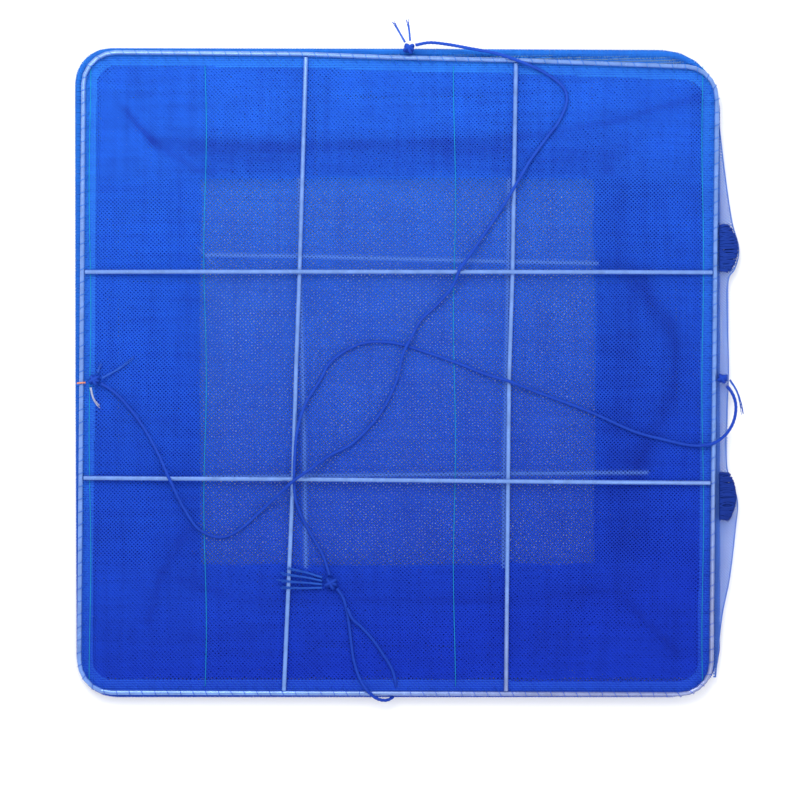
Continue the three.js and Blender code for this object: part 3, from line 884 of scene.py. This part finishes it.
for name, turn, at, half, mouth, low, high in SIDES:
    cut = 6  # taken off the two corners beside the rim
    left_side, right_side = mouth - MOUTH_HALF_W, mouth + MOUTH_HALF_W
    wall = turned([
        (-half + cut, 1), (half - cut, 1), (half, cut), (half, WALL_EDGE),
        (right_side, WALL_EDGE), (right_side, MOUTH_DEPTH),
        (left_side, MOUTH_DEPTH), (left_side, WALL_EDGE),
        (-half, WALL_EDGE), (-half, cut),
    ], at, turn)
    tip = MOUTH_DEPTH + FLAP_L
    flap = turned([
        (left_side + 1, MOUTH_DEPTH + 1), (right_side - 1, MOUTH_DEPTH + 1),
        (mouth + FLAP_TIP_HALF_W, tip), (mouth - FLAP_TIP_HALF_W, tip),
    ], at, turn)
    hinge = np.array(turned([(0, 0)], at, turn)[0])
    inward = np.array(((0, 1), (-1, 0), (0, -1), (1, 0))[turn])
    deep_from, deep_by = FOLD_SHADE[name]

    # Painted shade: darker towards the wall's folded edge, and along the fold lines on the right
    # and far sides.
    def shade(xy, hinge=hinge, inward=inward, start=deep_from, by=deep_by, side=name):
        depth = (xy - hinge) @ inward
        share = np.clip((depth - start) / (WALL_HALF / 1000 - start), 0, 1)
        out = by * share * share * (3 - 2 * share)
        if side in ("right", "far"):
            lines = right_fold if side == "right" else far_fold
            out = out + 0.5 * near_lines(xy, lines, 0.008)
        return out

    for part, layer in (("lower", low), ("upper", high)):
        seed = 100 + 10 * turn + layer
        z = Z_NETS + layer * LAYER + 0.00025
        rng = np.random.default_rng(seed)
        creases = []
        for _ in range(CREASES):
            x = rng.uniform(-half, half)
            lean = rng.uniform(-60, 60)
            ends = turned([(x, 4), (x + lean, WALL_HALF - 4)], at, turn)
            creases.append((ends[0], ends[1], rng.uniform(0.004, 0.008), rng.uniform(0.25, 0.5)))
        tilt = math.pi / 4 + rng.uniform(-0.05, 0.05)
        pleats = [(a, b) for a, b, _, _ in creases]

        # Painted shade along the wall's creases, on top of the shade towards the folded edge.
        def painted_pleat_shade(xy, pleats=pleats, shade=shade):
            return shade(xy) + 0.4 * near_lines(xy, pleats, 0.004)

        thing = netting(f"{name}_{part}_wall_net", wall, z, seed, creases=creases, turn=tilt,
                        wander=0.0022, pitch=WALL_PITCH, width=WALL_STRAND, shade=painted_pleat_shade,
                        wear_and_painted_light=lambda xy: 0.55 * near_lines(xy, past_fold, 0.0017),
                        detail=past_fold if name == "right" else (), step=0.008,
                        material=WALL_NET)
        node = f"{name}_wall_{part}"
        place(thing, node, node, "net", wall, (2 * half / 1000, WALL_HALF / 1000), "folded",
              ["low_net"])
        node = f"{name}_flap_{part}"
        thing = netting(f"{name}_{part}_flap_net", flap, z, seed + 500, turn=tilt,
                        wander=0.0018, pitch=WALL_PITCH, width=WALL_STRAND, shade=painted_pleat_shade,
                        step=0.008, material=WALL_NET)
        place(thing, node, node, "net", flap, (2 * MOUTH_HALF_W / 1000, FLAP_L / 1000), "folded",
              ["low_net"])
        lip = tube_parts(np.array([[*flap[3], z], [*flap[2], z]]), 0.0005, sides=6)
        thing = mesh_object(f"{name}_{part}_flap_cord", *lip, HEM)
        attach(thing, node)
        for end, across in (("left", -1), ("right", 1)):
            gusset(f"{name}_{part}_{end}_gusset", at, turn, mouth, across, z)

# ---- Slack net pushed out past the right side -------------------------------------------------
SLACK_EDGE = [(299, 260.6), (306.6, 192), (314, 141.6), (320.4, 115.3), (316, 97), (311, 90),
              (310.6, 2.8), (309.4, -90), (318.8, -119), (316.9, -147), (311.3, -194),
              (304.7, -227), (298.4, -286)]
edge = [row((x, y, 0))[:2] for x, y in [*SLACK_EDGE, (296.5, -286), (296.5, 260.6)]][::-1]
z_slack = Z_NETS + LAYER + 0.0001
slack = netting("right_slack_strands", edge, z_slack + 0.0003, 71, wander=0.003, material=SLACK,
                step=0.004, pitch=0.0019, width=0.0008)
edge_line = smooth([row((x, y, (z_slack + 0.0006) * 1000)) for x, y in SLACK_EDGE], 0.002)
slack_edge = mesh_object("right_slack_edge", *tube_parts(edge_line, 0.0006, sides=6), SLACK)
place(slack, "right_slack_net", "top_frame", "slack_net", edge, (0.547, 0.024), "gathered",
      ["low_rim"])
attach(slack_edge, "top_frame")

GATHERS = {  # outlines, (x, y) in millimetres
    "far": [(301.2, 137), (314.2, 139), (320.4, 116), (316, 96.4), (301.2, 94.4)],
    "near": [(301.2, -95), (309.6, -93), (318.8, -119), (317.4, -139), (301.2, -138)],
}
for name, corners in GATHERS.items():
    rng = np.random.default_rng(len(name))
    ys = [y for _, y in corners]
    low_y, high_y = min(ys) + 1.5, max(ys) - 1.5
    reach = max(x for x, _ in corners) - 0.8
    parts = []
    rows, root, shoulder = 70, 301.6, 310.5
    for k in range(rows):
        s = k / (rows - 1)
        y0 = low_y + (high_y - low_y) * s
        bulge = math.sin(math.pi * s) ** 0.7
        outer = shoulder + (reach - shoulder) * bulge
        for level in (0, 1):
            z = z_slack * 1000 + 2.2 + 2.0 * level + 1.0 * rng.uniform(0, 1)
            line = smooth([
                row((root, y0 + rng.uniform(-1, 1), z)),
                row(((root + outer) / 2, y0 + rng.uniform(-2.4, 2.4), z + 0.4)),
                row((outer - 0.6, y0 + rng.uniform(-2.0, 2.0), z - 0.6 - level)),
            ], 0.002)
            parts.append(tube_parts(line, 0.0008, sides=5))
    thing = mesh_object(f"right_gather_{name}_strands", *joined(parts), BUNCH)
    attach(thing, "top_frame")
    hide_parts(f"right_gather_{name}")

# ---- Marker yarns laid through the upper cover ------------------------------------------------
for index, (x, wobble) in enumerate(((-289, 0.8), (-181, 1.2), (53, 1.0), (286, 0.8))):
    ys = np.linspace(-294, 288, 60)
    phase = 1.7 * index
    line = np.array([
        row((x + wobble * math.sin(y / 37 + phase), y, 1000 * Z_TOP_NET + 1.0)) for y in ys
    ])
    yarn = mesh_object(f"marker_yarn_{index + 1}", *tube_parts(line, 0.00035, sides=5), GREEN)
    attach(yarn, "top_frame")

# ---- Floor and light ---------------------------------------------------------------------------
bpy.ops.mesh.primitive_plane_add(size=6, location=(0, 0, -0.0003))
floor = bpy.context.object
floor.name = "floor"
material, tree, bsdf = nodes_of("paper")
tone = mixed(tree, grain(tree, 3), (0.94, 0.94, 0.94), (0.96, 0.96, 0.96))
tree.links.new(tone, bsdf.inputs["Base Color"])
bsdf.inputs["Roughness"].default_value = 0.9
floor.data.materials.append(material)

world = bpy.data.worlds.new("studio")
bpy.context.scene.world = world
world.use_nodes = True
world.node_tree.nodes["Background"].inputs["Color"].default_value = (0.93, 0.95, 1.0, 1)
world.node_tree.nodes["Background"].inputs["Strength"].default_value = 1.0


def soft_light(name, place_at, size, power):
    """A round area light that faces the trap."""
    data = bpy.data.lights.new(name, "AREA")
    data.shape = "DISK"
    data.size = size
    data.energy = power
    light = bpy.data.objects.new(name, data)
    light.location = place_at
    light.rotation_euler = (-Vector(place_at)).to_track_quat("-Z", "Y").to_euler()
    bpy.context.scene.collection.objects.link(light)


soft_light("key", (-0.4, 1.1, 1.7), 1.3, 26)
soft_light("fill", (0.9, -0.8, 2.0), 1.6, 9)
